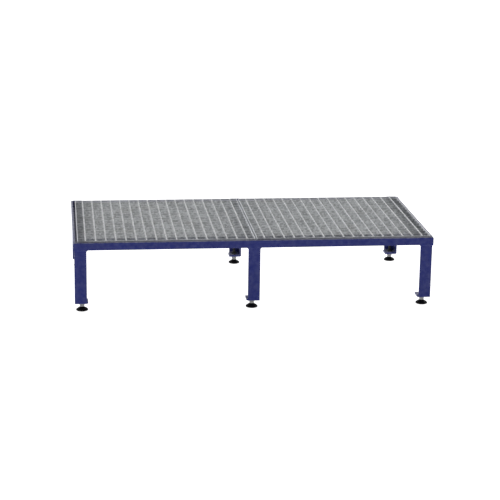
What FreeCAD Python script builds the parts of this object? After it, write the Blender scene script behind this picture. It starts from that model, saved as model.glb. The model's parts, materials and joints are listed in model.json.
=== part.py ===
import FreeCAD, Part
import math
import os
import Sketcher

# Low work platform: a welded angle-steel frame on six angle legs, two drop-in gratings
# and six screw-adjusted swivel feet. Millimetres, +Z up, +X along the platform.
# The origin is on the floor under the middle of the deck.

doc = FreeCAD.newDocument("work_platform")
sheet = doc.addObject("Spreadsheet::Sheet", "dims")

DRIVING_DIMENSIONS = {
    "frame_length": 1200,
    "frame_width": 600,
    "deck_height": 240,
    "rim_flange": 25,
    "ledge_width": 40,
    "lip_width": 7,
    "rim_thickness": 3,
    "leg_flange": 40,
    "leg_thickness": 4,
    "leg_root_radius": 5,
    "leg_toe_radius": 2,
    "leg_base": 28,
    "plate_size": 40,
    "plate_thickness": 6,
    "plate_hole": 10.6,
    "tee_size": 25,
    "tee_thickness": 3.5,
    "bar_height": 25,
    "bar_thickness": 2,
    "edge_thickness": 3,
    "rod_size": 5,
    "rod_rise": 1,
    "mesh_pitch": 33.3333,
    "rods": 17,
    "bars": 16,
    "grating_length": 587,
    "grating_width": 570,
    "seam_gap": 5,
    "deck_shift": 3,
    "thread_diameter": 10,
    "thread_clearance": 0.05,
    "spindle_top": 88,
    "spindle_tip": 1.2,
    "spanner_flats": 14,
    "spanner_height": 5.5,
    "hub_clearance": 1.5,
    "nut_flats": 17,
    "nut_height": 8,
    "lock_nut_height": 6,
    "pad_diameter": 40,
    "pad_height": 12.5,
    "pad_rim_height": 4,
    "pad_shoulder": 11.5,
    "pad_hub_diameter": 17,
    "pad_lift": 1,
    "sole_diameter": 34,
    "sole_thickness": 3,
    "sole_clearance": 0.1,
    "ball_diameter": 9,
    "ball_height": 7.6,
    "neck_diameter": 6,
    "socket_mouth": 8.2,
    "socket_flare": 11,
}

for row, (alias, value) in enumerate(DRIVING_DIMENSIONS.items(), start=1):
    sheet.set(f"A{row}", alias)
    sheet.set(f"B{row}", str(value))
    sheet.setAlias(f"B{row}", alias)
doc.recompute()


def size(alias):
    """A driving dimension as a plain number."""
    return float(sheet.get(alias))


sub_parts = []


def keep(item, label):
    """Registers a finished sub-part under the name of its file."""
    item.Label = label
    sub_parts.append(item)
    return item


def place(item, x, y, z, turn=0.0):
    """Puts a sub-part at expressions x, y, z, turned about +Z by some degrees."""
    item.Placement = FreeCAD.Placement(FreeCAD.Vector(), FreeCAD.Rotation(FreeCAD.Vector(0, 0, 1), turn))
    for axis, expression in (("x", x), ("y", y), ("z", z)):
        item.setExpression(f"Placement.Base.{axis}", expression)


def origin_plane(body, role):
    return [plane for plane in body.Origin.OriginFeatures if plane.Role == role][0]


def outline(body, name, role, corners):
    """A closed outline on one of the body's own planes, with every corner bound to the sheet."""
    sketch = body.newObject("Sketcher::SketchObject", name)
    sketch.AttachmentSupport = (origin_plane(body, role), [""])
    sketch.MapMode = "FlatFace"
    points = [FreeCAD.Vector(sketch.evalExpression(u), sketch.evalExpression(v), 0) for u, v in corners]
    for start, end in zip(points, points[1:] + points[:1]):
        sketch.addGeometry(Part.LineSegment(start, end))
    count = len(points)
    for line in range(count):
        sketch.addConstraint(Sketcher.Constraint("Coincident", line, 2, (line + 1) % count, 1))
    for line, (point, (u, v)) in enumerate(zip(points, corners)):
        across = sketch.addConstraint(Sketcher.Constraint("DistanceX", -1, 1, line, 1, point.x))
        sketch.setExpression(f"Constraints[{across}]", u)
        along = sketch.addConstraint(Sketcher.Constraint("DistanceY", -1, 1, line, 1, point.y))
        sketch.setExpression(f"Constraints[{along}]", v)
    return sketch


def pad(body, name, sketch, length, middle=False):
    feature = body.newObject("PartDesign::Pad", name)
    feature.Profile = sketch
    feature.setExpression("Length", length)
    feature.Midplane = middle
    sketch.Visibility = False
    return feature


def cut_through(body, name, sketch):
    """A pocket both ways through the solid; the volume has to drop."""
    doc.recompute()
    before = body.Shape.Volume
    feature = body.newObject("PartDesign::Pocket", name)
    feature.Profile = sketch
    feature.Type = "ThroughAll"
    feature.Midplane = True
    doc.recompute()
    if body.Shape.Volume >= before:
        raise RuntimeError(f"{name} removed nothing from {body.Label}")
    return feature


def angle_slot(corner, towards):
    """The outline that a leg's angle section takes, with room for its root radius.

    corner is the section's outer corner on the u axis, and towards is +1 or -1 for the way that
    the flange beside the rim runs along u. The other flange runs inward along v.
    """
    reach = [
        ("0", "0"),
        ("dims.leg_flange", "0"),
        ("dims.leg_flange", "dims.leg_thickness"),
        ("dims.leg_thickness + dims.leg_root_radius", "dims.leg_thickness"),
        ("dims.leg_thickness", "dims.leg_thickness + dims.leg_root_radius"),
        ("dims.leg_thickness", "dims.leg_flange"),
        ("0", "dims.leg_flange"),
    ]
    return [(f"{corner} + ({towards}) * ({u})", f"dims.rim_thickness + {v}") for u, v in reach]


def flange_slot(corner, towards):
    """The outline that the one flange of a middle leg takes where it passes up behind the rim's face."""
    reach = [("0", "0"), ("dims.leg_flange", "0"), ("dims.leg_flange", "dims.leg_thickness"),
             ("0", "dims.leg_thickness")]
    return [(f"{corner} + ({towards}) * ({u})", f"dims.rim_thickness + {v}") for u, v in reach]


# ---- heights and places that several sub-parts share ----

RIM_BASE = "dims.deck_height - dims.rod_rise - dims.bar_height - dims.rim_thickness"
LEDGE_TOP = "dims.deck_height - dims.rod_rise - dims.bar_height"
CORNER_X = "dims.frame_length / 2 - dims.rim_thickness"
CORNER_Y = "dims.frame_width / 2 - dims.rim_thickness"
# The middle legs stand beside the tee, with their side flange against the edge of its table.
MIDDLE_X = "dims.tee_size / 2 + dims.leg_thickness"


def build_rim(label, length, x, y, turn, middle_slot=None):
    """A folded channel with mitred ends: a lip on top, an upright face outside and a ledge below.

    Slots let the legs up past the ledge. Local u runs along the outer face and v into the frame.
    """
    body = doc.addObject("PartDesign::Body", label)
    half = f"{length} / 2"
    for name, depth, bottom, height in (
            ("ledge", "dims.ledge_width", "0", "dims.rim_thickness"),
            ("upright", "dims.rim_thickness", "0", "dims.rim_flange"),
            ("lip", "dims.lip_width", "dims.rim_flange - dims.rim_thickness", "dims.rim_thickness")):
        corners = [(f"-{half}", "0"), (half, "0"), (f"{half} - {depth}", depth), (f"{depth} - {half}", depth)]
        sketch = outline(body, f"{label}_{name}_outline", "XY_Plane", corners)
        sketch.setExpression("AttachmentOffset.Base.z", bottom)
        pad(body, f"{label}_{name}", sketch, height)
    slots = {"left": angle_slot(f"dims.rim_thickness - {half}", 1),
             "right": angle_slot(f"{half} - dims.rim_thickness", -1)}
    if middle_slot:
        slots["middle"] = flange_slot(*middle_slot)
    for name, corners in slots.items():
        sketch = outline(body, f"{label}_{name}_slot_outline", "XY_Plane", corners)
        cut_through(body, f"{label}_{name}_slot", sketch)
    place(body, x, y, RIM_BASE, turn)
    return keep(body, label)


def build_leg(station, x, y, turn, coped_plane=None):
    """A leg of equal angle with its root and toe radii, its outer corner at x, y.

    A middle leg's side flange is coped off under the ledge, so that only the other one reaches the
    rim's top. coped_plane is the plane in which the cope shows as a rectangle.
    """
    label = f"leg_{station}"
    body = doc.addObject("PartDesign::Body", label)
    corners = [
        ("0", "0"),
        ("dims.leg_flange", "0"),
        ("dims.leg_flange", "dims.leg_thickness"),
        ("dims.leg_thickness", "dims.leg_thickness"),
        ("dims.leg_thickness", "dims.leg_flange"),
        ("0", "dims.leg_flange"),
    ]
    top = f"{RIM_BASE} + dims.rim_flange"
    section = pad(body, f"{label}_section", outline(body, f"{label}_outline", "XY_Plane", corners),
                  f"{top} - dims.leg_base")
    doc.recompute()
    thickness = size("leg_thickness")
    flange = size("leg_flange")
    root = round_upright_edges(body, f"{label}_root", section, "dims.leg_root_radius", [(thickness, thickness)])
    round_upright_edges(body, f"{label}_toes", root, "dims.leg_toe_radius",
                        [(flange, thickness), (thickness, flange)])
    if coped_plane:
        low = f"{RIM_BASE} - dims.leg_base"
        high = f"{top} - dims.leg_base + 1"
        cope = [("dims.leg_thickness", low), ("dims.leg_flange + 1", low),
                ("dims.leg_flange + 1", high), ("dims.leg_thickness", high)]
        cut_through(body, f"{label}_cope", outline(body, f"{label}_cope_outline", coped_plane, cope))
    place(body, x, y, "dims.leg_base", turn)
    return keep(body, label)


def round_upright_edges(body, name, base, radius, places):
    """Rounds the upright edges of a section that stand at the given places."""
    names = []
    for index, edge in enumerate(base.Shape.Edges, start=1):
        start = edge.Vertexes[0].Point
        end = edge.Vertexes[-1].Point
        upright = math.hypot(end.x - start.x, end.y - start.y) < 0.01
        if upright and any(math.hypot(start.x - x, start.y - y) < 0.01 for x, y in places):
            names.append(f"Edge{index}")
    if len(names) != len(places):
        raise RuntimeError(f"{name}: found {len(names)} edges for {len(places)} places")
    feature = body.newObject("PartDesign::Fillet", name)
    feature.Base = (base, names)
    feature.setExpression("Radius", radius)
    doc.recompute()
    return feature


def build_foot_plate(station, x, y, turn):
    """The square plate welded inside a leg's foot, its inner corner clipped past the root radius."""
    label = f"foot_plate_{station}"
    body = doc.addObject("PartDesign::Body", label)
    near = "dims.leg_thickness"
    far = "dims.leg_thickness + dims.plate_size"
    clip = "dims.leg_thickness + dims.leg_root_radius"
    corners = [(clip, near), (far, near), (far, far), (near, far), (near, clip)]
    pad(body, f"{label}_blank", outline(body, f"{label}_outline", "XY_Plane", corners), "dims.plate_thickness")

    hole = body.newObject("Sketcher::SketchObject", f"{label}_hole_outline")
    hole.AttachmentSupport = (origin_plane(body, "XY_Plane"), [""])
    hole.MapMode = "FlatFace"
    middle = hole.evalExpression(FOOT_INSET)
    circle = Part.Circle(FreeCAD.Vector(middle, middle, 0), FreeCAD.Vector(0, 0, 1), size("plate_hole") / 2)
    hole.addGeometry(circle)
    bound = (("DistanceX", FOOT_INSET), ("DistanceY", FOOT_INSET))
    for kind, expression in bound:
        index = hole.addConstraint(Sketcher.Constraint(kind, -1, 1, 0, 3, middle))
        hole.setExpression(f"Constraints[{index}]", expression)
    index = hole.addConstraint(Sketcher.Constraint("Diameter", 0, size("plate_hole")))
    hole.setExpression(f"Constraints[{index}]", "dims.plate_hole")
    cut_through(body, f"{label}_hole", hole)
    place(body, x, y, "dims.leg_base", turn)
    return keep(body, label)


# A foot stands on the middle of its plate, this far in from the leg's outer corner both ways.
FOOT_INSET = "dims.leg_thickness + dims.plate_size / 2"


def cylinder(name, diameter, bottom, height):
    item = doc.addObject("Part::Cylinder", name)
    item.setExpression("Radius", f"({diameter}) / 2")
    item.setExpression("Height", height)
    item.setExpression("Placement.Base.z", bottom)
    return item


def cone(name, lower, upper, bottom, height):
    item = doc.addObject("Part::Cone", name)
    item.setExpression("Radius1", f"({lower}) / 2")
    item.setExpression("Radius2", f"({upper}) / 2")
    item.setExpression("Height", height)
    item.setExpression("Placement.Base.z", bottom)
    return item


def ball(name, diameter, centre="dims.ball_height"):
    item = doc.addObject("Part::Sphere", name)
    item.setExpression("Radius", f"({diameter}) / 2")
    item.setExpression("Placement.Base.z", centre)
    return item


def prism(name, flats, height):
    """A hexagonal prism, given its width across flats."""
    item = doc.addObject("Part::Prism", name)
    item.Polygon = 6
    item.setExpression("Circumradius", f"({flats}) / sqrt(3)")
    item.setExpression("Height", height)
    return item


def fuse(name, items):
    item = doc.addObject("Part::MultiFuse", name)
    item.Shapes = items
    return item


def cut(name, base, tool):
    item = doc.addObject("Part::Cut", name)
    item.Base = base
    item.Tool = tool
    return item


def build_spindle(label, x, y):
    """The threaded stem, at its thread's outer diameter, with its spanner hexagon, neck and ball below."""
    shoulder = "dims.pad_height + dims.hub_clearance"
    thread = cylinder(f"{label}_thread", "dims.thread_diameter", shoulder,
                      f"dims.spindle_top - dims.spindle_tip - ({shoulder})")
    tip = cone(f"{label}_tip", "dims.thread_diameter", "dims.thread_diameter - 2 * dims.spindle_tip",
               "dims.spindle_top - dims.spindle_tip", "dims.spindle_tip")
    neck = cylinder(f"{label}_neck", "dims.neck_diameter", "dims.ball_height",
                    f"{shoulder} - dims.ball_height")
    hexagon = prism(f"{label}_hexagon", "dims.spanner_flats", "dims.spanner_height")
    hexagon.setExpression("Placement.Base.z", shoulder)
    item = fuse(label, [thread, hexagon, tip, neck, ball(f"{label}_ball", "dims.ball_diameter")])
    place(item, x, y, "0")
    return keep(item, label)


def build_nut(label, x, y, bottom, height):
    """A hexagon nut that runs on the thread."""
    blank = prism(f"{label}_blank", "dims.nut_flats", height)
    bore = cylinder(f"{label}_bore", "dims.thread_diameter + 2 * dims.thread_clearance", "-1", f"{height} + 2")
    item = cut(label, blank, bore)
    place(item, x, y, bottom)
    return keep(item, label)


def build_pad(label, x, y):
    """The moulded foot: a low dome and hub with a ball socket above and a recess for the sole below."""
    blank = cylinder(f"{label}_blank", "dims.pad_diameter", "dims.pad_lift", "dims.pad_shoulder - dims.pad_lift")
    # The dome is part of a sphere that passes through the rim's edge and meets the hub at its shoulder.
    edge = "dims.pad_diameter / 2"
    hub_edge = "dims.pad_hub_diameter / 2"
    centre = (f"(({edge})^2 - ({hub_edge})^2 + dims.pad_rim_height^2 - dims.pad_shoulder^2)"
              f" / (2 * (dims.pad_rim_height - dims.pad_shoulder))")
    sphere = ball(f"{label}_sphere", f"2 * sqrt(({edge})^2 + (dims.pad_rim_height - ({centre}))^2)", centre)
    dome = doc.addObject("Part::MultiCommon", f"{label}_dome")
    dome.Shapes = [blank, sphere]
    hub = cylinder(f"{label}_hub", "dims.pad_hub_diameter", "dims.pad_rim_height",
                   "dims.pad_height - dims.pad_rim_height")
    socket = ball(f"{label}_socket", "dims.ball_diameter + 2 * dims.thread_clearance")
    mouth = cylinder(f"{label}_mouth", "dims.socket_mouth", "dims.ball_height", "dims.pad_height")
    flare = cone(f"{label}_flare", "dims.socket_mouth", "dims.socket_flare",
                 "dims.pad_height - 2", "2.001")
    recess = cylinder(f"{label}_recess", "dims.sole_diameter + 2 * dims.sole_clearance", "0",
                      "dims.sole_thickness")
    item = cut(label, fuse(f"{label}_solid", [dome, hub]),
               fuse(f"{label}_hollow", [socket, mouth, flare, recess]))
    place(item, x, y, "0")
    return keep(item, label)


def build_sole(label, x, y):
    """The anti-slip disc under the pad, proud of it by pad_lift."""
    item = cylinder(label, "dims.sole_diameter", "0", "dims.sole_thickness")
    place(item, x, y, "0")
    return keep(item, label)


def build_foot(station, x, y):
    build_spindle(f"spindle_{station}", x, y)
    build_nut(f"height_nut_{station}", x, y, "dims.leg_base - dims.nut_height", "dims.nut_height")
    build_nut(f"lock_nut_{station}", x, y, "dims.leg_base + dims.plate_thickness", "dims.lock_nut_height")
    build_pad(f"pad_{station}", x, y)
    build_sole(f"sole_{station}", x, y)


def build_cross_member():
    """The tee under the seam: its table is level with the ledges, its web reaches both middle legs."""
    body = doc.addObject("PartDesign::Body", "cross_member")
    table_half = "dims.tee_size / 2"
    web_half = "dims.tee_thickness / 2"
    table = [(f"-{table_half}", "-dims.tee_thickness"), (table_half, "-dims.tee_thickness"),
             (table_half, "0"), (f"-{table_half}", "0")]
    web = [(f"-{web_half}", "-dims.tee_size"), (web_half, "-dims.tee_size"),
           (web_half, "-dims.tee_thickness"), (f"-{web_half}", "-dims.tee_thickness")]
    pad(body, "tee_table", outline(body, "tee_table_outline", "XZ_Plane", table),
        "dims.frame_width - 2 * dims.ledge_width", middle=True)
    pad(body, "tee_web", outline(body, "tee_web_outline", "XZ_Plane", web),
        "dims.frame_width - 2 * (dims.rim_thickness + dims.leg_thickness)", middle=True)
    place(body, "0", "0", LEDGE_TOP)
    return keep(body, "cross_member")


def solid_group(label, solids):
    """Several separate solids that make one sub-part."""
    item = doc.addObject("Part::Feature", label)
    item.Shape = Part.makeCompound(solids)
    return keep(item, label)


def mesh_lines(count):
    """The places of the rods or bars across a grating, spaced evenly about its middle."""
    lines = int(size(count))
    return [(line - (lines - 1) / 2) * size("mesh_pitch") for line in range(lines)]


def build_grating(side, direction):
    """One grating: notched bearing bars along X, cross rods along Y in the notches, edge bars around."""
    length = size("grating_length")
    width = size("grating_width")
    edge = size("edge_thickness")
    height = size("bar_height")
    thickness = size("bar_thickness")
    rod = size("rod_size")
    rise = size("rod_rise")
    rod_places = mesh_lines("rods")
    bar_places = mesh_lines("bars")
    inner_length = length - 2 * edge
    inner_width = width - 2 * edge
    # Both gratings lie loose in the frame, pushed a little to one end.
    seat = FreeCAD.Vector(size("deck_shift") + direction * (size("seam_gap") + length) / 2, 0,
                          size("deck_height") - rise - height)

    notch_depth = rod - rise
    bar = Part.makeBox(inner_length, thickness, height, FreeCAD.Vector(-inner_length / 2, -thickness / 2, 0))
    notches = [Part.makeBox(rod, 2 * thickness, notch_depth + 1,
                            FreeCAD.Vector(offset - rod / 2, -thickness, height - notch_depth))
               for offset in rod_places]
    bar = bar.cut(Part.makeCompound(notches))
    bars = [bar.translated(FreeCAD.Vector(0, offset, 0)) for offset in bar_places]

    rods = [Part.makeBox(rod, inner_width, rod,
                         FreeCAD.Vector(offset - rod / 2, -inner_width / 2, height - notch_depth))
            for offset in rod_places]

    edges = []
    for sign in (-1, 1):
        end = sign * (length - edge) / 2
        edges.append(Part.makeBox(edge, width, height, FreeCAD.Vector(end - edge / 2, -width / 2, 0)))
        long_side = sign * (width - edge) / 2
        edges.append(Part.makeBox(inner_length, edge, height,
                                  FreeCAD.Vector(-inner_length / 2, long_side - edge / 2, 0)))

    for name, solids in (("bearing_bars", bars), ("cross_rods", rods), ("edge_bars", edges)):
        group = solid_group(f"grating_{side}_{name}", solids)
        group.Placement = FreeCAD.Placement(seat, FreeCAD.Rotation())


# ---- the frame ----

build_rim("rim_front", "dims.frame_length", "0", "-dims.frame_width / 2", 0, (MIDDLE_X, -1))
build_rim("rim_back", "dims.frame_length", "0", "dims.frame_width / 2", 180, (f"-({MIDDLE_X})", 1))
build_rim("rim_left", "dims.frame_width", "-dims.frame_length / 2", "0", -90)
build_rim("rim_right", "dims.frame_width", "dims.frame_length / 2", "0", 90)
build_cross_member()

# Each station: the leg's outer corner, its turn, the way inward from that corner, and its cope.
STATIONS = {
    "front_left": (f"-({CORNER_X})", f"-({CORNER_Y})", 0, 1, 1, None),
    "front_middle": (MIDDLE_X, f"-({CORNER_Y})", 90, -1, 1, "XZ_Plane"),
    "front_right": (CORNER_X, f"-({CORNER_Y})", 90, -1, 1, None),
    "back_left": (f"-({CORNER_X})", CORNER_Y, -90, 1, -1, None),
    "back_middle": (MIDDLE_X, CORNER_Y, 180, -1, -1, "YZ_Plane"),
    "back_right": (CORNER_X, CORNER_Y, 180, -1, -1, None),
}

for station, (x, y, turn, inward_x, inward_y, coped_plane) in STATIONS.items():
    build_leg(station, x, y, turn, coped_plane)
    build_foot_plate(station, x, y, turn)
    build_foot(station, f"{x} + ({inward_x}) * ({FOOT_INSET})", f"{y} + ({inward_y}) * ({FOOT_INSET})")

# ---- the deck ----

build_grating("left", -1)
build_grating("right", 1)

# ---- checks and export ----

doc.recompute()
for item in doc.Objects:
    if "Invalid" in item.State or "Error" in item.State:
        raise RuntimeError(f"{item.Name} failed: {item.State}")
for item in sub_parts:
    if item.Shape.isNull() or not item.Shape.isValid():
        raise RuntimeError(f"{item.Label} has no valid shape")

os.makedirs("parts", exist_ok=True)
for item in sub_parts:
    item.Shape.exportStep(f"parts/{item.Label}.step")
print(f"{len(sub_parts)} sub-parts written")
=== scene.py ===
import json
import math
import random

import bmesh
import bpy
from mathutils import Matrix, Vector


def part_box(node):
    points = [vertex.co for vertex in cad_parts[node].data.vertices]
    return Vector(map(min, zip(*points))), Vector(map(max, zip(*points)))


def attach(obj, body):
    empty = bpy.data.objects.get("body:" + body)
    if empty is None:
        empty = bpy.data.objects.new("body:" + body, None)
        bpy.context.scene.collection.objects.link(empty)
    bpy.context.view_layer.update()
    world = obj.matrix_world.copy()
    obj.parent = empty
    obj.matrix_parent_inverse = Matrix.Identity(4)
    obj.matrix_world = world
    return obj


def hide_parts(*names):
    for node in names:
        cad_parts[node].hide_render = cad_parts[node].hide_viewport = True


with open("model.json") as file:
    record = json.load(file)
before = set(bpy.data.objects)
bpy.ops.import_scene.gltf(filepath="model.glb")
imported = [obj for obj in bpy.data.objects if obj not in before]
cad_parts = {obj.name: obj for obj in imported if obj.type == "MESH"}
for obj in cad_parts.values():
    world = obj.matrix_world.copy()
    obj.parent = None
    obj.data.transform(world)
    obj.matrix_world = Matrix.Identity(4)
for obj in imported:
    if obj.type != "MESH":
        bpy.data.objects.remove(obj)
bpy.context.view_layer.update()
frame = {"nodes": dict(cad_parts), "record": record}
nodes = frame["nodes"]
scene = bpy.context.scene
mm = 0.001
print("frame loaded:", len(nodes), "nodes")


# small tools for shader trees

def addNode(tree, kind, settings=None, inputs=None):
    node = tree.nodes.new(kind)
    for name, value in (settings or {}).items():
        setattr(node, name, value)
    for name, value in (inputs or {}).items():
        if isinstance(value, bpy.types.NodeSocket):
            tree.links.new(value, node.inputs[name])
        else:
            node.inputs[name].default_value = value
    return node


def addMath(tree, operation, first, second=None, third=None):
    inputs = {place: value for place, value in enumerate((first, second, third)) if value is not None}
    return addNode(tree, "ShaderNodeMath", {"operation": operation}, inputs).outputs[0]


def remap(tree, value, fromLow, fromHigh, toLow=0.0, toHigh=1.0):
    inputs = {"Value": value, "From Min": fromLow, "From Max": fromHigh, "To Min": toLow, "To Max": toHigh}
    return addNode(tree, "ShaderNodeMapRange", {"clamp": True}, inputs).outputs[0]


def addNoise(tree, vector, scale, detail=3.0, roughness=0.5):
    inputs = {"Vector": vector, "Scale": scale, "Detail": detail, "Roughness": roughness}
    return addNode(tree, "ShaderNodeTexNoise", None, inputs).outputs["Fac"]


def mixColor(tree, factor, first, second):
    node = tree.nodes.new("ShaderNodeMix")
    node.data_type = "RGBA"
    for socket, value in zip((node.inputs[0], node.inputs[6], node.inputs[7]), (factor, first, second)):
        if isinstance(value, bpy.types.NodeSocket):
            tree.links.new(value, socket)
        else:
            socket.default_value = value if isinstance(value, float) else (*value, 1.0)
    return node.outputs[2]


def startGroup(name, inputs, outputs):
    # inputs maps a socket's name to its default, or to None for a vector that has to be linked
    group = bpy.data.node_groups.new(name, "ShaderNodeTree")
    for label, default in inputs.items():
        kind = "NodeSocketVector" if default is None else "NodeSocketFloat"
        socket = group.interface.new_socket(label, in_out="INPUT", socket_type=kind)
        if default is not None:
            socket.default_value = default
    for label, kind in outputs.items():
        group.interface.new_socket(label, in_out="OUTPUT", socket_type="NodeSocket" + kind)
    return group, group.nodes.new("NodeGroupInput").outputs, group.nodes.new("NodeGroupOutput").inputs


def useGroup(tree, group, **inputs):
    node = tree.nodes.new("ShaderNodeGroup")
    node.node_tree = group
    for label, value in inputs.items():
        socket = node.inputs[label]
        if isinstance(value, bpy.types.NodeSocket):
            tree.links.new(value, socket)
        else:
            socket.default_value = value
    return node.outputs


# effects that several finishes share

def makePeelGroup():
    # the low rolling waves of baked powder, with a finer grain over them
    group, given, made = startGroup("powderPeel", {"Vector": None, "Wave": 420.0, "Grain": 2600.0},
                                    {"Height": "Float"})
    waves = addNoise(group, given["Vector"], given["Wave"], 2.0, 0.4)
    grain = addNoise(group, given["Vector"], given["Grain"], 1.0)
    group.links.new(addMath(group, "MULTIPLY_ADD", grain, 0.12, waves), made["Height"])
    return group


def makeCloudGroup():
    # soft patches of tone, large ones broken by small ones
    group, given, made = startGroup("toneClouds", {"Vector": None, "Size": 9.0, "Contrast": 1.0},
                                    {"Mask": "Float"})
    large = addNoise(group, given["Vector"], given["Size"], 3.0, 0.55)
    smallSize = addMath(group, "MULTIPLY", given["Size"], 9.0)
    small = addNoise(group, given["Vector"], smallSize, 4.0, 0.6)
    blended = addMath(group, "MULTIPLY_ADD", small, 0.4, addMath(group, "MULTIPLY", large, 0.6))
    centred = addMath(group, "SUBTRACT", blended, 0.5)
    spread = addMath(group, "MULTIPLY_ADD", centred, given["Contrast"], 0.5)
    group.links.new(remap(group, spread, 0.2, 0.8), made["Mask"])
    return group


def makeEdgeGroup():
    # finds convex and concave edges by how far a rounded normal leaves the true one
    group, given, made = startGroup("edgeFinder", {"Vector": None, "Radius": 1.2 * mm, "Breakup": 160.0},
                                    {"Mask": "Float"})
    rounded = addNode(group, "ShaderNodeBevel", {"samples": 4}, {"Radius": given["Radius"]}).outputs[0]
    true = group.nodes.new("ShaderNodeNewGeometry").outputs["Normal"]
    dot = addNode(group, "ShaderNodeVectorMath", {"operation": "DOT_PRODUCT"}, {0: rounded, 1: true})
    away = remap(group, dot.outputs["Value"], 0.995, 0.86)
    patches = remap(group, addNoise(group, given["Vector"], given["Breakup"], 4.0, 0.65), 0.40, 0.62)
    group.links.new(addMath(group, "MULTIPLY", away, patches), made["Mask"])
    return group


def makeDustAndTopSheenGroup():
    # thin dust on whatever faces up, and a trace of it low down on the uprights; on the blue coat this mask
    # paints a pale reflection onto the upward faces (painted reflection)
    group, given, made = startGroup("dustAndTopSheen", {"Vector": None, "Amount": 0.3, "Size": 60.0},
                                    {"Mask": "Float"})
    facing = group.nodes.new("ShaderNodeNewGeometry").outputs["Normal"]
    up = addNode(group, "ShaderNodeSeparateXYZ", None, {0: facing}).outputs["Z"]
    patches = remap(group, addNoise(group, given["Vector"], given["Size"], 5.0, 0.62), 0.30, 0.75)
    lying = addMath(group, "MULTIPLY", remap(group, up, 0.3, 0.95, 0.08, 1.0), patches)
    group.links.new(addMath(group, "MULTIPLY", lying, given["Amount"]), made["Mask"])
    return group


def makeSpangleGroup():
    # zinc crystals: every one has its own tone, and the melt leaves a soft skin over them
    group, given, made = startGroup("zincSpangle", {"Vector": None, "Crystals": 150.0, "Skin": 700.0},
                                    {"Tone": "Float", "Height": "Float"})
    drift = addNode(group, "ShaderNodeTexNoise", None,
                    {"Vector": given["Vector"], "Scale": given["Crystals"]})
    pushed = addNode(group, "ShaderNodeVectorMath", {"operation": "MULTIPLY_ADD"},
                     {0: drift.outputs["Color"], 1: (0.006, 0.006, 0.006), 2: given["Vector"]})
    cells = addNode(group, "ShaderNodeTexVoronoi", None,
                    {"Vector": pushed.outputs[0], "Scale": given["Crystals"], "Randomness": 1.0})
    shade = addNode(group, "ShaderNodeSeparateColor", None, {0: cells.outputs["Color"]}).outputs[0]
    skin = addNoise(group, given["Vector"], given["Skin"], 4.0, 0.6)
    group.links.new(addMath(group, "MULTIPLY_ADD", skin, 0.45, addMath(group, "MULTIPLY", shade, 0.55)),
                    made["Tone"])
    ridges = remap(group, cells.outputs["Distance"], 0.0, 0.7)
    group.links.new(addMath(group, "MULTIPLY_ADD", skin, 0.6, addMath(group, "MULTIPLY", ridges, 0.4)),
                    made["Height"])
    return group


powderPeel = makePeelGroup()
toneClouds = makeCloudGroup()
edgeFinder = makeEdgeGroup()
dustAndTopSheen = makeDustAndTopSheenGroup()
zincSpangle = makeSpangleGroup()
print("shared effects ready")


# finishes

def startMaterial(name):
    material = bpy.data.materials.new(name)
    material.use_nodes = True
    tree = material.node_tree
    shader = tree.nodes["Principled BSDF"]
    vector = tree.nodes.new("ShaderNodeTexCoord").outputs["Object"]
    return material, tree, shader, vector


def addBump(tree, shader, height, distance):
    inputs = {"Height": height, "Distance": distance, "Strength": 1.0}
    bump = addNode(tree, "ShaderNodeBump", None, inputs)
    tree.links.new(bump.outputs[0], shader.inputs["Normal"])


powderCoat = {
    "deep": (0.0062, 0.0125, 0.126),
    "light": (0.0100, 0.0185, 0.165),
    # the lighter blue on the edges: coat worn thin there, and a painted highlight
    "edge": (0.060, 0.072, 0.20),
    # the pale lavender on the upward faces is a painted reflection of the bright surroundings
    "dustAndSheen": (0.50, 0.51, 0.60),
    "edgeWidth": 1.6 * mm,
    "edgeAmount": 0.40,
    "dustAndSheenAmount": 1.0,
    "gloss": 0.34,
    "specular": 0.13,
    "bloom": 0.6,
    "bloomSpread": 0.25,
    "bloomTint": (0.85, 0.88, 1.0, 1.0),
    "peelDepth": 0.05 * mm,
}


def makePowderCoat():
    material, tree, shader, vector = startMaterial("blueCoat")
    clouds = useGroup(tree, toneClouds, Vector=vector, Size=7.0, Contrast=1.3)["Mask"]
    edges = useGroup(tree, edgeFinder, Vector=vector, Radius=powderCoat["edgeWidth"])["Mask"]
    dustAndSheen = useGroup(tree, dustAndTopSheen, Vector=vector, Amount=powderCoat["dustAndSheenAmount"])["Mask"]
    color = mixColor(tree, clouds, powderCoat["deep"], powderCoat["light"])
    # edges are mixed towards a lighter blue: wear where the coat is thin, and a painted highlight along them
    edgeWearAndHighlight = addMath(tree, "MULTIPLY", edges, powderCoat["edgeAmount"])
    color = mixColor(tree, edgeWearAndHighlight, color, powderCoat["edge"])
    # the upward faces are mixed towards that pale lavender: a painted reflection on the tops of the blue coat
    color = mixColor(tree, dustAndSheen, color, powderCoat["dustAndSheen"])
    tree.links.new(color, shader.inputs["Base Color"])
    gloss = powderCoat["gloss"]
    rough = addMath(tree, "MULTIPLY_ADD", dustAndSheen, 0.2, remap(tree, clouds, 0.0, 1.0, gloss, gloss + 0.09))
    tree.links.new(rough, shader.inputs["Roughness"])
    shader.inputs["Specular IOR Level"].default_value = powderCoat["specular"]
    shader.inputs["Sheen Weight"].default_value = powderCoat["bloom"]
    shader.inputs["Sheen Roughness"].default_value = powderCoat["bloomSpread"]
    shader.inputs["Sheen Tint"].default_value = powderCoat["bloomTint"]
    peel = useGroup(tree, powderPeel, Vector=vector)["Height"]
    addBump(tree, shader, peel, powderCoat["peelDepth"])
    return material


galvanised = {
    "dull": (0.42, 0.43, 0.435),
    "bright": (0.66, 0.67, 0.675),
    "edge": (0.86, 0.86, 0.86),
    "stain": (0.27, 0.255, 0.235),
    "stainAmount": 0.45,
    "metallic": 0.82,
    "edgeWidth": 0.7 * mm,
    "crystals": 150.0,
    "dustAndSheenAmount": 0.18,
    "skinDepth": 0.06 * mm,
}

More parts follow.
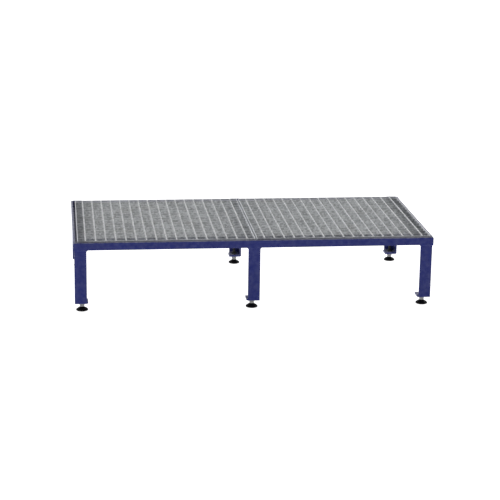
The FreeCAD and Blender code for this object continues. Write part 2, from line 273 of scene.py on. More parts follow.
# a lighter copy of the zinc for the rods: a painted highlight for the glints along their tops
rodZinc = {
    **galvanised,
    "dull": (0.62, 0.635, 0.65),
    "bright": (0.86, 0.87, 0.88),
    "edge": (0.95, 0.95, 0.95),
    "stainAmount": 0.25,
    "metallic": 0.75,
}

# a lighter, less metallic copy of the zinc for the edge bars: painted light, standing in for the light that
# falls on them
litBandZinc = {
    **galvanised,
    "dull": (0.78, 0.80, 0.84),
    "bright": (0.92, 0.93, 0.96),
    "edge": (0.97, 0.97, 0.98),
    "stainAmount": 0.10,
    "metallic": 0.35,
}


def makeGalvanised(name, look):
    material, tree, shader, vector = startMaterial(name)
    spangle = useGroup(tree, zincSpangle, Vector=vector, Crystals=look["crystals"])
    clouds = useGroup(tree, toneClouds, Vector=vector, Size=5.0, Contrast=1.6)["Mask"]
    edges = useGroup(tree, edgeFinder, Vector=vector, Radius=look["edgeWidth"])["Mask"]
    dustAndSheen = useGroup(tree, dustAndTopSheen, Vector=vector, Amount=look["dustAndSheenAmount"], Size=40.0)["Mask"]
    color = mixColor(tree, remap(tree, spangle["Tone"], 0.25, 0.75), look["dull"], look["bright"])
    stained = remap(tree, clouds, 0.60, 1.0, 0.0, look["stainAmount"])
    color = mixColor(tree, stained, color, look["stain"])
    color = mixColor(tree, addMath(tree, "MULTIPLY", edges, 0.6), color, look["edge"])
    color = mixColor(tree, dustAndSheen, color, look["dull"])
    tree.links.new(color, shader.inputs["Base Color"])
    metal = remap(tree, dustAndSheen, 0.0, 0.3, look["metallic"], look["metallic"] - 0.2)
    tree.links.new(metal, shader.inputs["Metallic"])
    rough = remap(tree, spangle["Tone"], 0.2, 0.8, 0.58, 0.42)
    tree.links.new(addMath(tree, "ADD", rough, dustAndSheen), shader.inputs["Roughness"])
    addBump(tree, shader, spangle["Height"], look["skinDepth"])
    return material


zincPlate = {
    "base": (0.25, 0.25, 0.248),
    "tint": (0.19, 0.193, 0.20),
    "edge": (0.46, 0.46, 0.455),
    "roughness": 0.30,
    "edgeWidth": 0.35 * mm,
    "grainDepth": 0.012 * mm,
}

# a much darker copy of the plated zinc for the thread and the lock nut above the plate: painted shade, for the
# dark inside of the legs where they stand
shadedZincLook = {
    **zincPlate,
    "base": (0.070, 0.070, 0.072),
    "tint": (0.045, 0.046, 0.050),
    "edge": (0.16, 0.16, 0.16),
    "roughness": 0.42,
}


def makeZincPlate(name, look):
    material, tree, shader, vector = startMaterial(name)
    clouds = useGroup(tree, toneClouds, Vector=vector, Size=70.0, Contrast=1.5)["Mask"]
    edges = useGroup(tree, edgeFinder, Vector=vector, Radius=look["edgeWidth"], Breakup=500.0)["Mask"]
    color = mixColor(tree, clouds, look["base"], look["tint"])
    color = mixColor(tree, edges, color, look["edge"])
    tree.links.new(color, shader.inputs["Base Color"])
    shader.inputs["Metallic"].default_value = 1.0
    rough = remap(tree, clouds, 0.0, 1.0, look["roughness"], look["roughness"] + 0.14)
    tree.links.new(rough, shader.inputs["Roughness"])
    grain = useGroup(tree, powderPeel, Vector=vector, Wave=2400.0, Grain=9000.0)["Height"]
    addBump(tree, shader, grain, look["grainDepth"])
    return material


mouldedPlastic = {
    "base": (0.0026, 0.0026, 0.0028),
    "worn": (0.0085, 0.0085, 0.009),
    "dustAndSheen": (0.045, 0.044, 0.042),
    "dustAndSheenAmount": 0.06,
    "specular": 0.12,
    "edgeWidth": 0.8 * mm,
    "grainDepth": 0.05 * mm,
}


def makeMouldedPlastic():
    material, tree, shader, vector = startMaterial("mouldedBlack")
    clouds = useGroup(tree, toneClouds, Vector=vector, Size=60.0, Contrast=1.4)["Mask"]
    width = mouldedPlastic["edgeWidth"]
    edges = useGroup(tree, edgeFinder, Vector=vector, Radius=width, Breakup=400.0)["Mask"]
    dustAndSheen = useGroup(tree, dustAndTopSheen, Vector=vector, Amount=mouldedPlastic["dustAndSheenAmount"], Size=300.0)["Mask"]
    worn = addMath(tree, "MULTIPLY_ADD", edges, 0.7, addMath(tree, "MULTIPLY", clouds, 0.25))
    color = mixColor(tree, worn, mouldedPlastic["base"], mouldedPlastic["worn"])
    color = mixColor(tree, dustAndSheen, color, mouldedPlastic["dustAndSheen"])
    tree.links.new(color, shader.inputs["Base Color"])
    tree.links.new(remap(tree, clouds, 0.0, 1.0, 0.42, 0.56), shader.inputs["Roughness"])
    shader.inputs["Specular IOR Level"].default_value = mouldedPlastic["specular"]
    grain = useGroup(tree, powderPeel, Vector=vector, Wave=1500.0, Grain=5200.0)["Height"]
    addBump(tree, shader, grain, mouldedPlastic["grainDepth"])
    return material


soleRubber = {
    "base": (0.011, 0.011, 0.011),
    "scuffed": (0.040, 0.039, 0.037),
    "edgeWidth": 0.6 * mm,
    "grainDepth": 0.08 * mm,
}


def makeSoleRubber():
    material, tree, shader, vector = startMaterial("soleRubber")
    clouds = useGroup(tree, toneClouds, Vector=vector, Size=110.0, Contrast=1.8)["Mask"]
    edges = useGroup(tree, edgeFinder, Vector=vector, Radius=soleRubber["edgeWidth"], Breakup=700.0)["Mask"]
    scuffs = addMath(tree, "MULTIPLY_ADD", edges, 0.6, addMath(tree, "MULTIPLY", clouds, 0.4))
    color = mixColor(tree, scuffs, soleRubber["base"], soleRubber["scuffed"])
    tree.links.new(color, shader.inputs["Base Color"])
    tree.links.new(remap(tree, clouds, 0.0, 1.0, 0.72, 0.88), shader.inputs["Roughness"])
    grain = useGroup(tree, powderPeel, Vector=vector, Wave=1100.0, Grain=3900.0)["Height"]
    addBump(tree, shader, grain, soleRubber["grainDepth"])
    return material


blueCoat = makePowderCoat()
dippedZinc = makeGalvanised("dippedZinc", galvanised)
glintRods = makeGalvanised("glintRods", rodZinc)
litBands = makeGalvanised("litBands", litBandZinc)
platedZinc = makeZincPlate("platedZinc", zincPlate)
paintedShadeZinc = makeZincPlate("paintedShadeZinc", shadedZincLook)
mouldedBlack = makeMouldedPlastic()
soleBlack = makeSoleRubber()
finishes = {"blue_powder_coat": blueCoat, "galvanised_steel": dippedZinc, "zinc_plated_steel": platedZinc,
            "black_plastic": mouldedBlack, "black_rubber": soleBlack}
print("finishes ready:", len(finishes))


# small tools for meshes

def makeMesh(name, points, faces, sharpAngle=35):
    mesh = bpy.data.meshes.new(name)
    mesh.from_pydata(points, [], faces)
    work = bmesh.new()
    work.from_mesh(mesh)
    bmesh.ops.remove_doubles(work, verts=work.verts, dist=1e-6)
    bmesh.ops.dissolve_degenerate(work, edges=work.edges, dist=1e-7)
    bmesh.ops.recalc_face_normals(work, faces=work.faces)
    work.to_mesh(mesh)
    work.free()
    mesh.polygons.foreach_set("use_smooth", [True] * len(mesh.polygons))
    mesh.set_sharp_from_angle(angle=math.radians(sharpAngle))
    return mesh


def addPiece(name, mesh, body, slotName, at=(0, 0, 0), turn=0.0):
    piece = bpy.data.objects.new(name, mesh)
    scene.collection.objects.link(piece)
    piece.location = at
    piece.rotation_euler.z = turn
    if not mesh.materials:
        mesh.materials.append(finishes[slotName])
    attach(piece, body)
    return piece


def sweepRings(rings, faces, points, closeEnds=True):
    # joins rings of equally many points into a tube, with a cap at each end
    count = len(rings[0])
    first = len(points)
    for ring in rings:
        points.extend(ring)
    for row in range(len(rings) - 1):
        for column in range(count):
            a = first + row * count + column
            b = first + row * count + (column + 1) % count
            faces.append((a, b, b + count, a + count))
    if closeEnds:
        faces.append(tuple(first + column for column in reversed(range(count))))
        last = first + (len(rings) - 1) * count
        faces.append(tuple(last + column for column in range(count)))


def latheMesh(name, profile, segments, sharpAngle):
    # profile is a closed outline of (radius, height) points, turned about the upright axis
    points, faces = [], []
    for index in range(segments):
        angle = 2 * math.pi * index / segments
        points.extend((r * math.cos(angle), r * math.sin(angle), z) for r, z in profile)
    count = len(profile)
    for index in range(segments):
        here, there = index * count, (index + 1) % segments * count
        for step in range(count):
            after = (step + 1) % count
            faces.append((here + step, there + step, there + after, here + after))
    return makeMesh(name, points, faces, sharpAngle)


def arc(centre, radius, start, end, steps):
    angles = [math.radians(start + (end - start) * step / steps) for step in range(steps + 1)]
    return [(centre[0] + radius * math.cos(a), centre[1] + radius * math.sin(a)) for a in angles]


# the welded frame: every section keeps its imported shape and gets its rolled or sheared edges

edgeRounding = {
    "rim": {"width": 1.1 * mm, "segments": 3},
    "leg": {"width": 0.8 * mm, "segments": 3},
    "foot_plate": {"width": 0.6 * mm, "segments": 2},
    "cross_member": {"width": 0.7 * mm, "segments": 2},
    "edge_bars": {"width": 0.5 * mm, "segments": 2},
    "bearing_bars": {"width": 0.3 * mm, "segments": 1},
}


def softenEdges(piece, width, segments):
    weld = piece.modifiers.new("joinCorners", "WELD")
    weld.merge_threshold = 0.01 * mm
    flatten = piece.modifiers.new("flattenFaces", "DECIMATE")
    flatten.decimate_type = "DISSOLVE"
    flatten.angle_limit = math.radians(1.0)
    bevel = piece.modifiers.new("roundEdges", "BEVEL")
    bevel.width = width
    bevel.segments = segments
    bevel.limit_method = "ANGLE"
    bevel.angle_limit = math.radians(40)
    bevel.miter_outer = "MITER_ARC"
    normals = piece.modifiers.new("evenShading", "WEIGHTED_NORMAL")
    normals.weight = 80
    normals.keep_sharp = False
    piece.data.polygons.foreach_set("use_smooth", [True] * len(piece.data.polygons))


slotOfNode = {row["node"]: row["material_slot"] for row in frame["record"]["subparts"]}
for node, piece in nodes.items():
    piece.data.materials.clear()
    # the edge bars take the lighter copy of the zinc, which paints light on them
    piece.data.materials.append(litBands if node.endswith("edge_bars") else finishes[slotOfNode[node]])
    for kind, rounding in edgeRounding.items():
        if node.startswith(kind) or node.endswith(kind):
            softenEdges(piece, rounding["width"], rounding["segments"])
print("frame sections rounded")


# weld beads

beads = {
    "step": 0.55 * mm,
    "ripplePitch": 2.3 * mm,
    "rippleDepth": 0.09,
    "sink": 0.35 * mm,
    "arcPoints": 5,
}


def beadRing(at, alongA, alongB, reach):
    # a fillet's section: from one wall, over a slightly raised face, to the other wall
    steps = beads["arcPoints"]
    ring = [at - (alongA + alongB) * beads["sink"]]
    for step in range(steps + 1):
        share = step / steps
        bulge = 1.0 + 0.20 * math.sin(math.pi * share)
        ring.append(at + (alongA * (1 - share) + alongB * share) * reach * bulge)
    return ring


def addBead(points, faces, route, alongA, alongB, reach, seed):
    # route is a list of corner points; the bead runs through them with a ripple and rounded ends
    draw = random.Random(seed)
    corners = [Vector(corner) for corner in route]
    length = sum((b - a).length for a, b in zip(corners, corners[1:]))
    rings, travelled = [], 0.0
    for start, end in zip(corners, corners[1:]):
        count = max(2, round((end - start).length / beads["step"]))
        for step in range(count + 1):
            if rings and step == 0:
                continue
            done = travelled + (end - start).length * step / count
            fromEnd = min(done, length - done) / reach
            ending = math.sqrt(max(0.0, 1 - (1 - min(1.0, fromEnd)) ** 2))
            ripple = abs(math.sin(math.pi * done / beads["ripplePitch"]))
            size = reach * (0.12 + 0.88 * ending) * (1 - beads["rippleDepth"] * (1 - ripple))
            size *= 1 + draw.uniform(-0.02, 0.02)
            rings.append(beadRing(start.lerp(end, step / count), alongA, alongB, size))
        travelled += (end - start).length
    sweepRings(rings, faces, points)


def stationSides(station):
    # a leg's outer corner, and the ways that its flanges run from it; the foot stands past their middle
    low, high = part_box("leg_" + station)
    foot = (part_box("spindle_" + station)[0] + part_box("spindle_" + station)[1]) / 2
    wayX = 1 if foot.x - low.x > high.x - foot.x else -1
    wayY = 1 if foot.y - low.y > high.y - foot.y else -1
    corner = Vector((low.x if wayX > 0 else high.x, low.y if wayY > 0 else high.y, 0))
    return corner, wayX, wayY


stations = [f"{row}_{column}" for row in ("front", "back") for column in ("left", "middle", "right")]
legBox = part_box("leg_front_left")
legFlange = legBox[1].x - legBox[0].x
legTop = legBox[1].z
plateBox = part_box("foot_plate_front_left")
plateTop = plateBox[1].z
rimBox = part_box("rim_front")
rimUnder = rimBox[0].z
ledgeWidth = rimBox[1].y - rimBox[0].y
legWall = 4 * mm

welds = {
    "rimFillet": 2.9 * mm,
    "wrapFillet": 4.6 * mm,
    "plateFillet": 3.6 * mm,
    "topCap": 2.2 * mm,
    "webFillet": 3.0 * mm,
    "cornerRun": 3 * mm,
    "wrapGap": 2.6 * mm,
    "wrapPast": 1 * mm,
    "middleWrap": 7 * mm,
    "capStart": 4 * mm,
    "capLoss": 6 * mm,
    "capDrop": 0.5 * mm,
    "capLean": 0.55,
    "plateStart": 5 * mm,
    "webHalf": 1.75 * mm,
    "webTopGap": 6 * mm,
    "webFootGap": 1 * mm,
    "teeNear": 3 * mm,
    "teeFar": 12 * mm,
    "teeLift": 0.4 * mm,
    "teeLean": 0.5,
}


def buildFrameWelds():
    points, faces = [], []
    down, up = Vector((0, 0, -1)), Vector((0, 0, 1))
    for index, station in enumerate(stations):
        corner, wayX, wayY = stationSides(station)
        outwardX, outwardY = Vector((-wayX, 0, 0)), Vector((0, -wayY, 0))
        middle = "middle" in station
        sides = [(Vector((wayX, 0, 0)), outwardY)]
        if not middle:
            sides.append((Vector((0, wayY, 0)), outwardX))
        for turn, (along, outward) in enumerate(sides):
            seed = 10 * index + turn
            start = Vector((corner.x, corner.y, rimUnder))
            end = start + along * legFlange
            before = 0 if middle else welds["cornerRun"]
            addBead(points, faces, [start - along * before, end], outward, down, welds["rimFillet"], seed)
            # the bead turns round the flange's free edge
            wrapStart = end + outward * welds["wrapGap"]
            wrapEnd = end - outward * (legWall + welds["wrapPast"])
            addBead(points, faces, [wrapStart, wrapEnd], along, down, welds["wrapFillet"], seed + 200)
            capStart = Vector((corner.x, corner.y, legTop - welds["capDrop"])) + along * welds["capStart"]
            capEnd = capStart + along * (legFlange - welds["capLoss"])
            rise = up * welds["capLean"]
            addBead(points, faces, [capStart, capEnd], outward + rise, rise - outward,
                    welds["topCap"], seed + 400)
        if middle:
            start = Vector((corner.x, corner.y, rimUnder)) + outwardY * welds["wrapGap"]
            end = start - outwardY * welds["middleWrap"]
            addBead(points, faces, [start, end], outwardX, down, welds["wrapFillet"], 10 * index + 600)
        # inside the foot: the plate is welded to both flanges
        inner = Vector((corner.x + wayX * legWall, corner.y + wayY * legWall, plateTop))
        runs = ((Vector((wayX, 0, 0)), -outwardY), (Vector((0, wayY, 0)), -outwardX))
        for turn, (along, away) in enumerate(runs):
            start = inner + along * welds["plateStart"]
            end = inner + along * (legFlange - legWall)
            addBead(points, faces, [start, end], away, up, welds["plateFillet"], 10 * index + 800 + turn)
    return makeMesh("frameWelds", points, faces, 50)


def buildTeeWelds():
    points, faces = [], []
    low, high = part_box("cross_member")
    under = Vector((0, 0, -1))
    for index, wayY in enumerate((-1, 1)):
        face = wayY * max(abs(low.y), abs(high.y))
        for turn, wayX in enumerate((-1, 1)):
            web = wayX * welds["webHalf"]
            top = Vector((web, face, high.z - welds["webTopGap"]))
            foot = Vector((web, face, low.z + welds["webFootGap"]))
            addBead(points, faces, [top, foot], Vector((wayX, 0, 0)), Vector((0, -wayY, 0)),
                    welds["webFillet"], 900 + 10 * index + turn)
        ledge = wayY * (abs(rimBox[0].y) - ledgeWidth)
        near, far, height = welds["teeNear"], welds["teeFar"], rimUnder + welds["teeLift"]
        back, lean = Vector((0, 1, 0)), under * welds["teeLean"]
        for turn, (fromX, toX) in enumerate(((-far, -near), (near, far))):
            start, end = Vector((fromX, ledge, height)), Vector((toX, ledge, height))
            addBead(points, faces, [start, end], back + lean, lean - back, welds["topCap"],
                    950 + 10 * index + turn)
    return makeMesh("teeWelds", points, faces, 50)


addPiece("frameWelds", buildFrameWelds(), "frame", "blue_powder_coat")
addPiece("teeWelds", buildTeeWelds(), "frame", "blue_powder_coat")
print("weld beads laid")


# the gratings

grating = {
    "rods": 17,
    "bars": 16,
    "rodSize": 5.0 * mm,
    "barWall": 2.0 * mm,
    "cornerCut": 0.9 * mm,
    "twistPerPitch": 0.75,
    "ringsPerTurn": 28,
    "flashReach": 4.2 * mm,
    "flashDepth": 2.0 * mm,
    "flashRise": 2.2 * mm,
    "flashSink": 1.7 * mm,
    "flashPoints": 10,
    "flashRows": 4,
    "endWeld": 2.6 * mm,
    "endWeldAside": 1.0 * mm,
    "endWeldLength": 13 * mm,
}


def spreadLines(low, high, width, count):
    # the middles of evenly spaced strips, the first and last of them flush with the two ends
    return [low + width / 2 + (high - low - width) * line / (count - 1) for line in range(count)]


def readMesh(side):
    # where the bars and rods run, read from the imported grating
    low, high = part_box(f"grating_{side}_edge_bars")
    rodLow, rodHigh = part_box(f"grating_{side}_cross_rods")
    barLow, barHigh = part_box(f"grating_{side}_bearing_bars")
    rodX = spreadLines(rodLow.x, rodHigh.x, grating["rodSize"], grating["rods"])
    barY = spreadLines(barLow.y, barHigh.y, grating["barWall"], grating["bars"])
    return {"low": low, "high": high, "rodLow": rodLow, "rodHigh": rodHigh, "rodX": rodX, "barY": barY,
            "barLow": barLow, "barHigh": barHigh, "pitch": barY[1] - barY[0]}


def rodSection(angle):
    # a square with its corners cut, turned by the twist
    half = grating["rodSize"] / 2
    inner = half - grating["cornerCut"]
    shape = [(half, inner), (inner, half), (-inner, half), (-half, inner),
             (-half, -inner), (-inner, -half), (inner, -half), (half, -inner)]
    c, s = math.cos(angle), math.sin(angle)
    return [(c * u - s * v, s * u + c * v) for u, v in shape]


def buildTwistedRods(side):
    points, faces = [], []
    layout = readMesh(side)
    half = grating["rodSize"] / 2
    reach = math.hypot(half, half - grating["cornerCut"])
    centreZ = layout["rodHigh"].z - reach
    turns = grating["twistPerPitch"] * (layout["rodHigh"].y - layout["rodLow"].y) / layout["pitch"]
    count = round(turns * grating["ringsPerTurn"])
    draw = random.Random(31 if side == "left" else 32)
    for x in layout["rodX"]:
        first = draw.uniform(0, math.pi / 2)
        rings = []
        for step in range(count + 1):
            share = step / count
            y = layout["rodLow"].y + (layout["rodHigh"].y - layout["rodLow"].y) * share
            section = rodSection(first + 2 * math.pi * turns * share)
            rings.append([Vector((x + u, y, centreZ + v)) for u, v in section])
        sweepRings(rings, faces, points)
    mesh = makeMesh(f"twistedRods_{side}", points, faces, 60)
    # the rods take the lighter zinc, a painted highlight
    mesh.materials.append(glintRods)
    return mesh


def buildWeldFlash(side):
    # where a rod was forged into a bar, the metal swells out along the bar on both sides of it
    points, faces = [], []
    layout = readMesh(side)
    draw = random.Random(41 if side == "left" else 42)
    around, rows = grating["flashPoints"], grating["flashRows"]
    top = layout["barHigh"].z
    for x in layout["rodX"]:
        for y in layout["barY"]:
            reachX = grating["flashReach"] * draw.uniform(0.85, 1.15)
            reachY = grating["flashDepth"] * draw.uniform(0.85, 1.2)
            rise = grating["flashRise"] * draw.uniform(0.8, 1.1)
            rings = []
            for row in range(rows + 1):
                lift = math.pi * (row / rows - 0.5)
                size = max(0.04, math.cos(lift))
                ring = []
                for step in range(around):
                    angle = 2 * math.pi * step / around
                    wobble = 1 + 0.08 * draw.uniform(-1, 1)
                    ring.append(Vector((x + reachX * size * wobble * math.cos(angle),
                                        y + reachY * size * wobble * math.sin(angle),
                                        top - grating["flashSink"] + rise * math.sin(lift))))
                rings.append(ring)
            sweepRings(rings, faces, points)
    return makeMesh(f"forgeFlash_{side}", points, faces, 80)


def buildEndWelds(side):
    # each bearing bar is welded to the edge bar at both of its ends, on alternate sides
    points, faces = [], []
    layout = readMesh(side)
    up = Vector((0, 0, 1))
    inner = layout["barHigh"].x, layout["barLow"].x
    middle = (layout["barLow"].z + layout["barHigh"].z) / 2
    for index, y in enumerate(layout["barY"]):
        for turn, (x, wayX) in enumerate(((inner[0], -1), (inner[1], 1))):
            wayY = 1 if (index + turn) % 2 else -1
            foot = Vector((x, y + wayY * grating["endWeldAside"], middle - grating["endWeldLength"] / 2))
            addBead(points, faces, [foot, foot + up * grating["endWeldLength"]],
                    Vector((wayX, 0, 0)), Vector((0, wayY, 0)), grating["endWeld"], 1200 + 40 * turn + index)
    return makeMesh(f"bandWelds_{side}", points, faces, 50)


for side in ("left", "right"):
    body = f"grating_{side}"
    rods = addPiece(f"twistedRods_{side}", buildTwistedRods(side), body, "galvanised_steel")
    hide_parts(f"grating_{side}_cross_rods")
    addPiece(f"forgeFlash_{side}", buildWeldFlash(side), body, "galvanised_steel")
    addPiece(f"bandWelds_{side}", buildEndWelds(side), body, "galvanised_steel")
print("gratings detailed")


# the screw feet

screw = {
    "pitch": 1.5 * mm,
    "outer": 4.98 * mm,
    "root": 4.08 * mm,
    "segments": 24,
    "tipChamfer": 1.2 * mm,
    "neck": 3.0 * mm,
    "ball": 4.45 * mm,
    "ballHeight": 7.6 * mm,
    "aboveHub": 1.5 * mm,
    "flats": 14 * mm,
    "hexHeight": 5.5 * mm,
    "neckCurve": 0.7 * mm,
}

nut = {"flats": 17 * mm, "bore": 5.03 * mm, "boreChamfer": 0.9 * mm, "faceShare": 0.95, "perSide": 8}


def hexagonRings(flats, bottom, top):
    # the faces and flats of a hexagon, whose thirty-degree chamfers leave curved edges on its flats
    flat = flats / 2
    faceRadius = flat * nut["faceShare"]
    rings = {"lowFace": [], "lowEdge": [], "highEdge": [], "highFace": []}
    count = 6 * nut["perSide"]
    for index in range(count):
        angle = 2 * math.pi * index / count
        fromFlat = (angle + math.pi / 6) % (math.pi / 3) - math.pi / 6
        reach = flat / math.cos(fromFlat)
        drop = max(0.0, reach - faceRadius) * math.tan(math.radians(30))
        c, s = math.cos(angle), math.sin(angle)
        rings["lowFace"].append(Vector((faceRadius * c, faceRadius * s, bottom)))
        rings["lowEdge"].append(Vector((reach * c, reach * s, bottom + drop)))
        rings["highEdge"].append(Vector((reach * c, reach * s, top - drop)))
        rings["highFace"].append(Vector((faceRadius * c, faceRadius * s, top)))
    return rings


def buildSpindle(low, high, ballHeight, shoulder):
    # heights are measured from the floor; the thread's lines follow the helix
    flank = [(0.00, 1.0), (0.12, 1.0), (0.44, 0.0), (0.68, 0.0)]
    count = len(flank)
    bottom, top = shoulder + screw["hexHeight"], high
    turns = math.ceil((top - bottom) / screw["pitch"]) + 2
    points, faces = [], []
    rows = turns * count
    endRadius = screw["outer"] - screw["tipChamfer"]
    for index in range(screw["segments"]):
        angle = 2 * math.pi * index / screw["segments"]
        for row in range(rows):
            share, height = flank[row % count]
            z = bottom + (row // count - 1 + share + index / screw["segments"]) * screw["pitch"]
            r = screw["root"] + (screw["outer"] - screw["root"]) * height
            r = min(r, endRadius + max(0.0, top - z), endRadius + max(0.0, z - bottom))
            z = min(max(z, bottom), top)
            points.append((r * math.cos(angle), r * math.sin(angle), z))
    for index in range(screw["segments"]):
        wraps = index == screw["segments"] - 1
        there = 0 if wraps else index + 1
        shift = count if wraps else 0
        for row in range(rows - 1 - shift):
            a = index * rows + row
            b = there * rows + row + shift
            faces.append((a, b, b + 1, a + 1))
    faces.append(tuple(index * rows for index in range(screw["segments"])))
    faces.append(tuple(index * rows + rows - 1 - count for index in range(screw["segments"])))
    # below the thread: the spanner hexagon, the plain neck and the ball
    sweepRings(list(hexagonRings(screw["flats"], shoulder, bottom).values()), faces, points)
    neck, ball = screw["neck"], screw["ball"]
    meets = math.degrees(math.acos(neck / ball))
    profile = [(0.0, low)] + arc((0.0, ballHeight), ball, -84, meets, 14)
    curve = screw["neckCurve"]
    profile += [(neck, shoulder - curve), (neck + curve, shoulder), (0.0, shoulder)]
    first = len(points)
    segments = screw["segments"]
    inner = profile[1:-1]
    for index in range(segments):
        angle = 2 * math.pi * index / segments
        points.extend((r * math.cos(angle), r * math.sin(angle), z) for r, z in inner)
    for index in range(segments):
        a, b = first + index * len(inner), first + (index + 1) % segments * len(inner)
        for step in range(len(inner) - 1):
            faces.append((a + step, b + step, b + step + 1, a + step + 1))
    faces.append(tuple(first + index * len(inner) for index in reversed(range(segments))))
    faces.append(tuple(first + index * len(inner) + len(inner) - 1 for index in range(segments)))
    mesh = makeMesh("spindle", points, faces, 40)
    # the thread takes the darker copy (painted shade); the hexagon, neck and ball below it take the plain
    # plating
    mesh.materials.append(paintedShadeZinc)
    mesh.materials.append(platedZinc)
    for face in mesh.polygons:
        face.material_index = 1 if face.center.z < bottom else 0
    return mesh


def buildNut(name, height):
    half = height / 2
    rings = hexagonRings(nut["flats"], -half, half)
    mouth = nut["bore"] + nut["boreChamfer"]
    mouths, bores = [], []
    count = 6 * nut["perSide"]
    angles = [2 * math.pi * index / count for index in range(count)]
    for side in (-1, 1):
        mouths.append([Vector((mouth * math.cos(a), mouth * math.sin(a), side * half)) for a in angles])
        depth = side * (half - nut["boreChamfer"])
        bores.append([Vector((nut["bore"] * math.cos(a), nut["bore"] * math.sin(a), depth)) for a in angles])
    loop = [bores[0], mouths[0], *rings.values(), mouths[1], bores[1], bores[0]]
    points, faces = [], []
    sweepRings(loop, faces, points, closeEnds=False)
    return makeMesh(name, points, faces, 25)


pad = {"rimRadius": 20 * mm, "hubRadius": 8.5 * mm, "rimHeight": 4 * mm, "lift": 1 * mm, "shoulder": 11.5 * mm,
       "height": 12.5 * mm, "recess": 17.1 * mm, "recessTop": 3 * mm, "socket": 4.55 * mm, "mouth": 4.1 * mm,
       "flare": 5.5 * mm, "flareDepth": 2 * mm, "bevel": 0.5 * mm, "toe": 1.1 * mm, "brow": 0.9 * mm,
       "hubRound": 0.6 * mm, "hubGap": 0.4 * mm, "hole": 0.6 * mm}


def buildPad():
    # a round dome with a soft rim, a low hub, a socket for the ball and a recess for the sole
    lift, top, recess = pad["lift"], pad["height"], pad["recess"]
    rim, hub = pad["rimRadius"], pad["hubRadius"]
    bevel, toe, brow, hubRound = pad["bevel"], pad["toe"], pad["brow"], pad["hubRound"]
    fall = pad["shoulder"] - pad["rimHeight"]
    domeCentre = (pad["rimHeight"] + pad["shoulder"]) / 2 - (rim ** 2 - hub ** 2) / (2 * fall)
    domeRadius = math.hypot(rim, pad["rimHeight"] - domeCentre)
    domeStart = math.degrees(math.acos((rim - bevel) / domeRadius))
    domeEnd = math.degrees(math.acos((hub + pad["hubGap"]) / domeRadius))
    profile = [(recess, pad["recessTop"]), (recess, lift + bevel), (recess + bevel, lift)]
    profile += arc((rim - toe, lift + toe), toe, -90, 0, 5)
    profile += arc((rim - brow, pad["rimHeight"] - bevel), brow, 0, 30, 3)
    profile += arc((0.0, domeCentre), domeRadius, domeStart, domeEnd, 14)
    profile += arc((hub - hubRound, top - hubRound), hubRound, 0, 90, 5)
    profile += [(pad["flare"], top), (pad["mouth"], top - pad["flareDepth"])]
    opening = math.degrees(math.acos(pad["mouth"] / pad["socket"]))
    profile += arc((0.0, screw["ballHeight"]), pad["socket"], opening, -82, 12)
    profile += [(pad["hole"], pad["recessTop"])]
    return latheMesh("padDome", profile, 64, 32)


sole = {"radius": 17 * mm, "thickness": 3 * mm, "grooves": 4, "grooveDepth": 0.9 * mm,
        "grooveWidth": 1.1 * mm, "grooveWall": 0.2 * mm, "firstGroove": 2.2 * mm, "edge": 2.5 * mm,
        "chamfer": 0.5 * mm, "hole": 0.4 * mm}


def buildSole():
    # grip rings are cut into its underside
    radius, thickness, chamfer = sole["radius"], sole["thickness"], sole["chamfer"]
    depth, wall = sole["grooveDepth"], sole["grooveWall"]
    profile = [(sole["hole"], thickness), (sole["hole"], 0.0)]
    spacing = (radius - sole["edge"]) / sole["grooves"]
    for groove in range(sole["grooves"]):
        inner = sole["firstGroove"] + spacing * groove
        outer = inner + sole["grooveWidth"] + 2 * wall
        profile += [(inner, 0.0), (inner + wall, depth), (outer - wall, depth), (outer, 0.0)]
    profile += [(radius - chamfer, 0.0), (radius, chamfer), (radius, thickness)]
    return latheMesh("soleDisc", profile, 64, 30)


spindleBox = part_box("spindle_front_left")
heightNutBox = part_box("height_nut_front_left")
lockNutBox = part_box("lock_nut_front_left")
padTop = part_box("pad_front_left")[1].z
shoulder = padTop + screw["aboveHub"]
spindleMesh = buildSpindle(spindleBox[0].z, spindleBox[1].z, screw["ballHeight"], shoulder)
heightNutMesh = buildNut("heightNut", heightNutBox[1].z - heightNutBox[0].z)
lockNutMesh = buildNut("lockNut", lockNutBox[1].z - lockNutBox[0].z)
# the lock nut above the plate takes the darker copy: painted shade
lockNutMesh.materials.append(paintedShadeZinc)
padMesh = buildPad()
soleMesh = buildSole()

heightNutMiddle = (heightNutBox[0].z + heightNutBox[1].z) / 2
lockNutMiddle = (lockNutBox[0].z + lockNutBox[1].z) / 2
turns = random.Random(5)
for station in stations:
    low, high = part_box("spindle_" + station)
    x, y = (low.x + high.x) / 2, (low.y + high.y) / 2
    parts = (
        ("spindle", spindleMesh, "spindle", "zinc_plated_steel", 0.0),
        ("heightNut", heightNutMesh, "height_nut", "zinc_plated_steel", heightNutMiddle),
        ("lockNut", lockNutMesh, "lock_nut", "zinc_plated_steel", lockNutMiddle),
        ("pad", padMesh, "pad", "black_plastic", 0.0),
        ("sole", soleMesh, "sole", "black_rubber", 0.0),
    )
    for label, mesh, node, slotName, z in parts:
        body = f"pad_{station}" if node == "sole" else f"{node}_{station}"
        piece = addPiece(f"{label}_{station}", mesh, body, slotName, (x, y, z), turns.uniform(0, 2 * math.pi))
        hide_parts(f"{node}_{station}")
print("screw feet placed:", len(stations))


# floor, light and camera

studio = {
    "floorSize": 30.0,
    "floorColor": (0.90, 0.90, 0.90),
    "floorGlow": 0.95,
    "floorDrop": 0.2 * mm,
    "skyFront": 0.04,
    "skyBack": 0.95,
    "keyPower": 14.0,
    "fillPower": 12.0,
    "aim": (0, 0, 0.15),
}


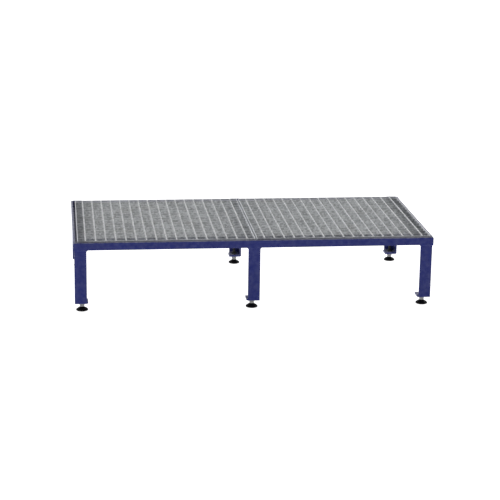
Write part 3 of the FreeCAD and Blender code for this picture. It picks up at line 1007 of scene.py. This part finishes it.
def buildFloor():
    half = studio["floorSize"] / 2
    corners = [(-half, -half, 0), (half, -half, 0), (half, half, 0), (-half, half, 0)]
    mesh = bpy.data.meshes.new("floor")
    mesh.from_pydata(corners, [], [(0, 1, 2, 3)])
    floor = bpy.data.objects.new("floor", mesh)
    floor.location.z = -studio["floorDrop"]
    scene.collection.objects.link(floor)
    material, tree, shader, vector = startMaterial("paleFloor")
    shade = addNoise(tree, vector, 0.8, 2.0)
    tone = studio["floorColor"]
    color = mixColor(tree, shade, tone, tuple(channel * 0.985 for channel in tone))
    tree.links.new(color, shader.inputs["Base Color"])
    shader.inputs["Roughness"].default_value = 0.8
    shader.inputs["Specular IOR Level"].default_value = 0.1
    shader.inputs["Emission Color"].default_value = (1, 1, 1, 1)
    shader.inputs["Emission Strength"].default_value = studio["floorGlow"]
    mesh.materials.append(material)


def addAreaLight(name, at, aim, width, height, power):
    light = bpy.data.lights.new(name, "AREA")
    light.shape = "RECTANGLE"
    light.size = width
    light.size_y = height
    light.energy = power
    lamp = bpy.data.objects.new(name, light)
    scene.collection.objects.link(lamp)
    lamp.location = at
    lamp.rotation_euler = (Vector(aim) - Vector(at)).to_track_quat("-Z", "Y").to_euler()


def buildSky():
    # a bright cloth behind the platform and a dim room in front of it
    world = bpy.data.worlds.new("studioSky")
    world.use_nodes = True
    tree = world.node_tree
    direction = tree.nodes.new("ShaderNodeTexCoord").outputs["Generated"]
    back = addNode(tree, "ShaderNodeSeparateXYZ", None, {0: direction}).outputs["Y"]
    strength = remap(tree, back, -0.6, 0.8, studio["skyFront"], studio["skyBack"])
    background = tree.nodes["Background"]
    background.inputs["Color"].default_value = (1, 1, 1, 1)
    tree.links.new(strength, background.inputs["Strength"])
    scene.world = world


buildFloor()
buildSky()
addAreaLight("keyLight", (-1.6, -2.2, 2.6), studio["aim"], 2.4, 1.6, studio["keyPower"])
addAreaLight("fillLight", (2.4, 1.6, 2.4), studio["aim"], 2.2, 1.6, studio["fillPower"])
print("studio lit")

view = {
    "place": (-0.647, -5.414, 1.605),
    "yaw": 7.00,
    "pitch": 15.21,
    "roll": -0.88,
    "lens": 116.3,
    "sensor": 36.0,
    "farEnd": 200.0,
}
camera = bpy.data.cameras.new("camera")
camera.lens = view["lens"]
camera.sensor_width = view["sensor"]
camera.clip_end = view["farEnd"]
cameraObject = bpy.data.objects.new("camera", camera)
scene.collection.objects.link(cameraObject)
aim = Matrix.Rotation(math.radians(-view["yaw"]), 4, "Z")
aim = aim @ Matrix.Rotation(math.radians(90 - view["pitch"]), 4, "X")
aim = aim @ Matrix.Rotation(math.radians(-view["roll"]), 4, "Z")
cameraObject.matrix_world = Matrix.Translation(view["place"]) @ aim
scene.camera = cameraObject
scene.view_settings.view_transform = "Standard"
print("camera set")
